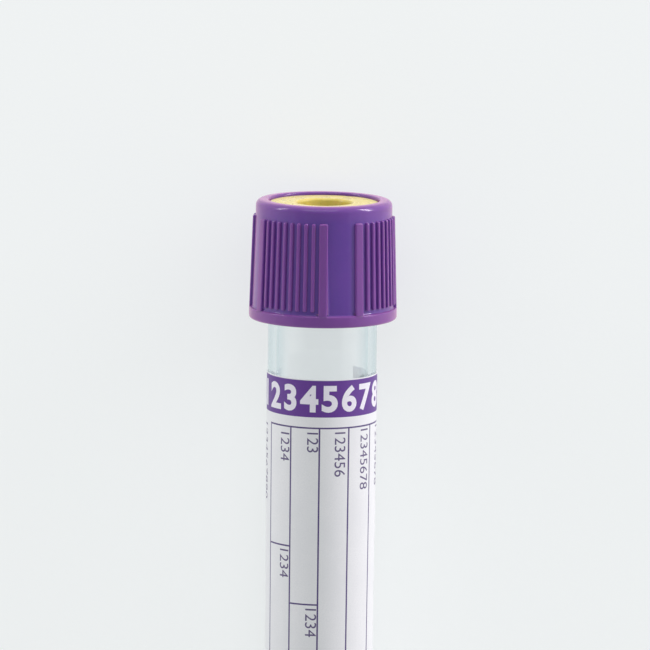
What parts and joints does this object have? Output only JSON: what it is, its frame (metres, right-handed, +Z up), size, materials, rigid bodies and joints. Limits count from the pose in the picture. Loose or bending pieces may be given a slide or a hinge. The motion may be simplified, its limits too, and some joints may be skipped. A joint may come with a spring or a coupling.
{
  "type": "blood collection tube",
  "caption": "Clear round-bottomed sample tube with a wrap-round paper label, closed by a ribbed purple push-on cap that carries a yellow ring over a rubber stopper.",
  "frame": {"origin": "centre of the bounding box's base, on the surface that the tube lies on", "axes": "+X along the lying tube from its round bottom towards its cap, +Y to the side, +Z up; the tube's own axis rises by 2.43 degrees towards the cap, because the cap's rim is wider than the tube"},
  "size_m": [0.0792, 0.0176, 0.0177],
  "materials": {
    "tube": "gloss",
    "label": "satin",
    "cap": "satin",
    "cap_ring": "satin",
    "stopper": "matte"
  },
  "bodies": {
    "tube": {"tube": "tube", "label": "label"},
    "closure": {"cap": "cap", "cap_ring": "cap_ring", "stopper": "stopper"}
  },
  "joints": [
    {"name": "closure_pull", "type": "slide", "parent": "tube", "child": "closure", "axis": [0.9991, 0, 0.0425], "range_m": [0, 0.03]}
  ]
}
